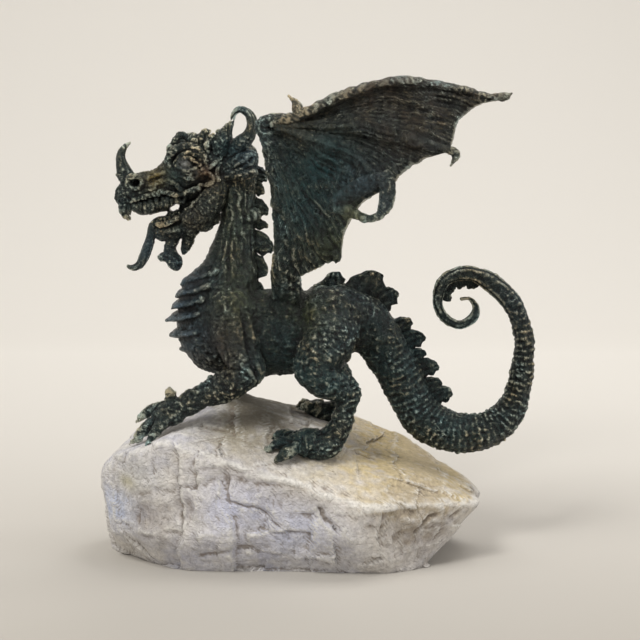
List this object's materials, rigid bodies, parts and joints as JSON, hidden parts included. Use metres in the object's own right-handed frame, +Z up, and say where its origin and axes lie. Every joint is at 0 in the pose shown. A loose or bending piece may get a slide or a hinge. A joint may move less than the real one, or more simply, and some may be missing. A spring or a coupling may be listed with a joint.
{
  "type": "dragon statue",
  "caption": "Cast winged dragon with open jaws and a curled tail, standing on a natural boulder that serves as its plinth.",
  "frame": {"origin": "middle of the boulder's flat underside, on the ground plane", "axes": "+Z up; the dragon faces -X and its left side faces -Y, the side the picture was taken from"},
  "size_m": [0.5203, 0.4198, 0.5676],
  "materials": {
    "patinated_bronze": "dark green-black patina on cast bronze, raised detail rubbed back to brown and gold",
    "pale_limestone": "rough weathered stone, ochre on top, grey-lavender on the sides"
  },
  "bodies": {
    "root": {"dragon": "patinated_bronze", "boulder": "pale_limestone"}
  },
  "joints": []
}
